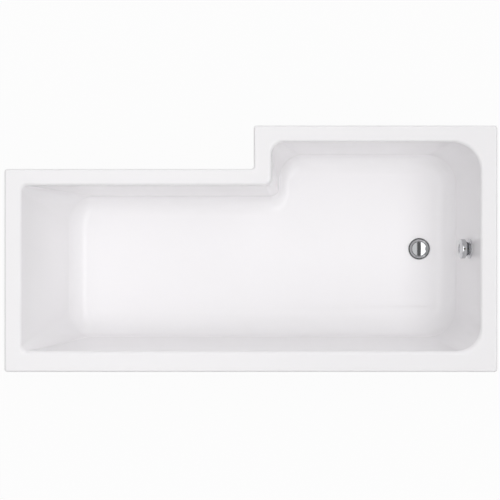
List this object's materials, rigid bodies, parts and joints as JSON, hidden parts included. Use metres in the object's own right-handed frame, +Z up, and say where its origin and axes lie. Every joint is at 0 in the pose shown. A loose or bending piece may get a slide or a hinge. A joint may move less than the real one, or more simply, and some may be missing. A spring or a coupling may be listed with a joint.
{
  "type": "shower bath",
  "caption": "L-shaped white acrylic shower bath with a wide tap end, sloping backrest, chrome pop-up waste, rotary overflow knob and a cradle on height-adjustable feet.",
  "frame": {"origin": "room floor level under the middle of the rim's outer rectangle", "axes": "+X from the head end to the tap end, +Y from the back edge to the room side, +Z up"},
  "size_m": [1.7, 0.85, 0.55],
  "materials": {
    "acrylic": "gloss white moulded acrylic",
    "chipboard": "raw pressed chipboard",
    "timber": "planed softwood",
    "zinc_steel": "zinc plated",
    "black_steel": "black oxide",
    "foot_plastic": "black moulded",
    "chrome": "polished chrome plate",
    "brass": "turned",
    "rubber": "black moulded",
    "white_plastic": "white moulded",
    "hose_plastic": "pale grey ribbed",
    "cable_plastic": "black sheath"
  },
  "bodies": {
    "bath": {"back_batten": "timber", "back_bracket_1": "zinc_steel", "back_bracket_2": "zinc_steel", "baseboard": "chipboard", "bath_shell": "acrylic", "bracket_screws": "zinc_steel", "control_cable": "cable_plastic", "cradle_screws": "zinc_steel", "front_batten": "timber", "head_batten": "timber", "head_bracket": "zinc_steel", "head_cradle_bar": "zinc_steel", "hose_clamp_lower": "zinc_steel", "hose_clamp_upper": "zinc_steel", "lever_pin": "zinc_steel", "lock_nuts": "zinc_steel", "middle_cradle_bar": "zinc_steel", "overflow_body": "white_plastic", "overflow_gasket": "rubber", "overflow_hose": "hose_plastic", "overflow_rosette": "chrome", "overflow_screws": "zinc_steel", "shower_batten": "timber", "stem_guide": "white_plastic", "step_batten": "timber", "tap_batten": "timber", "tap_bracket": "zinc_steel", "tap_cradle_bar": "zinc_steel", "waste_body": "white_plastic", "waste_flange": "chrome", "waste_gasket": "rubber", "waste_washer": "rubber"},
    "knob": {"overflow_knob": "chrome", "knob_grub_screw": "black_steel", "overflow_spindle": "brass", "cable_drum": "white_plastic"},
    "plug": {"plug_cap": "chrome", "plug_seal": "rubber", "plug_stem": "brass", "stem_nut": "zinc_steel"},
    "lever": {"lift_lever": "white_plastic"},
    "foot_1": {"foot_pad_1": "foot_plastic", "foot_stud_1": "zinc_steel"},
    "foot_2": {"foot_pad_2": "foot_plastic", "foot_stud_2": "zinc_steel"},
    "foot_3": {"foot_pad_3": "foot_plastic", "foot_stud_3": "zinc_steel"},
    "foot_4": {"foot_pad_4": "foot_plastic", "foot_stud_4": "zinc_steel"},
    "foot_5": {"foot_pad_5": "foot_plastic", "foot_stud_5": "zinc_steel"},
    "foot_6": {"foot_pad_6": "foot_plastic", "foot_stud_6": "zinc_steel"}
  },
  "joints": [
    {"name": "knob_turn", "type": "hinge", "parent": "bath", "child": "knob", "pos_m": [0.7705, 0, 0.4], "axis": [-0.9889, 0, 0.1483], "range_deg": [0, 110]},
    {"name": "plug_lift", "type": "slide", "parent": "bath", "child": "plug", "axis": [0, 0, 1], "range_m": [0, 0.009]},
    {"name": "lever_swing", "type": "hinge", "parent": "bath", "child": "lever", "pos_m": [0.613, 0.015, 0.1011], "axis": [-1, 0, 0], "range_deg": [0, 34.91]},
    {"name": "foot_1_height", "type": "slide", "parent": "bath", "child": "foot_1", "axis": [0, 0, -1], "range_m": [-0.012, 0.012]},
    {"name": "foot_2_height", "type": "slide", "parent": "bath", "child": "foot_2", "axis": [0, 0, -1], "range_m": [-0.012, 0.012]},
    {"name": "foot_3_height", "type": "slide", "parent": "bath", "child": "foot_3", "axis": [0, 0, -1], "range_m": [-0.012, 0.012]},
    {"name": "foot_4_height", "type": "slide", "parent": "bath", "child": "foot_4", "axis": [0, 0, -1], "range_m": [-0.012, 0.012]},
    {"name": "foot_5_height", "type": "slide", "parent": "bath", "child": "foot_5", "axis": [0, 0, -1], "range_m": [-0.012, 0.012]},
    {"name": "foot_6_height", "type": "slide", "parent": "bath", "child": "foot_6", "axis": [0, 0, -1], "range_m": [-0.012, 0.012]}
  ],
  "couplings": [
    {"joint": "plug_lift", "follows": "knob_turn", "m_per_rad": 0.0046878},
    {"joint": "lever_swing", "follows": "knob_turn", "ratio": 0.3174}
  ]
}
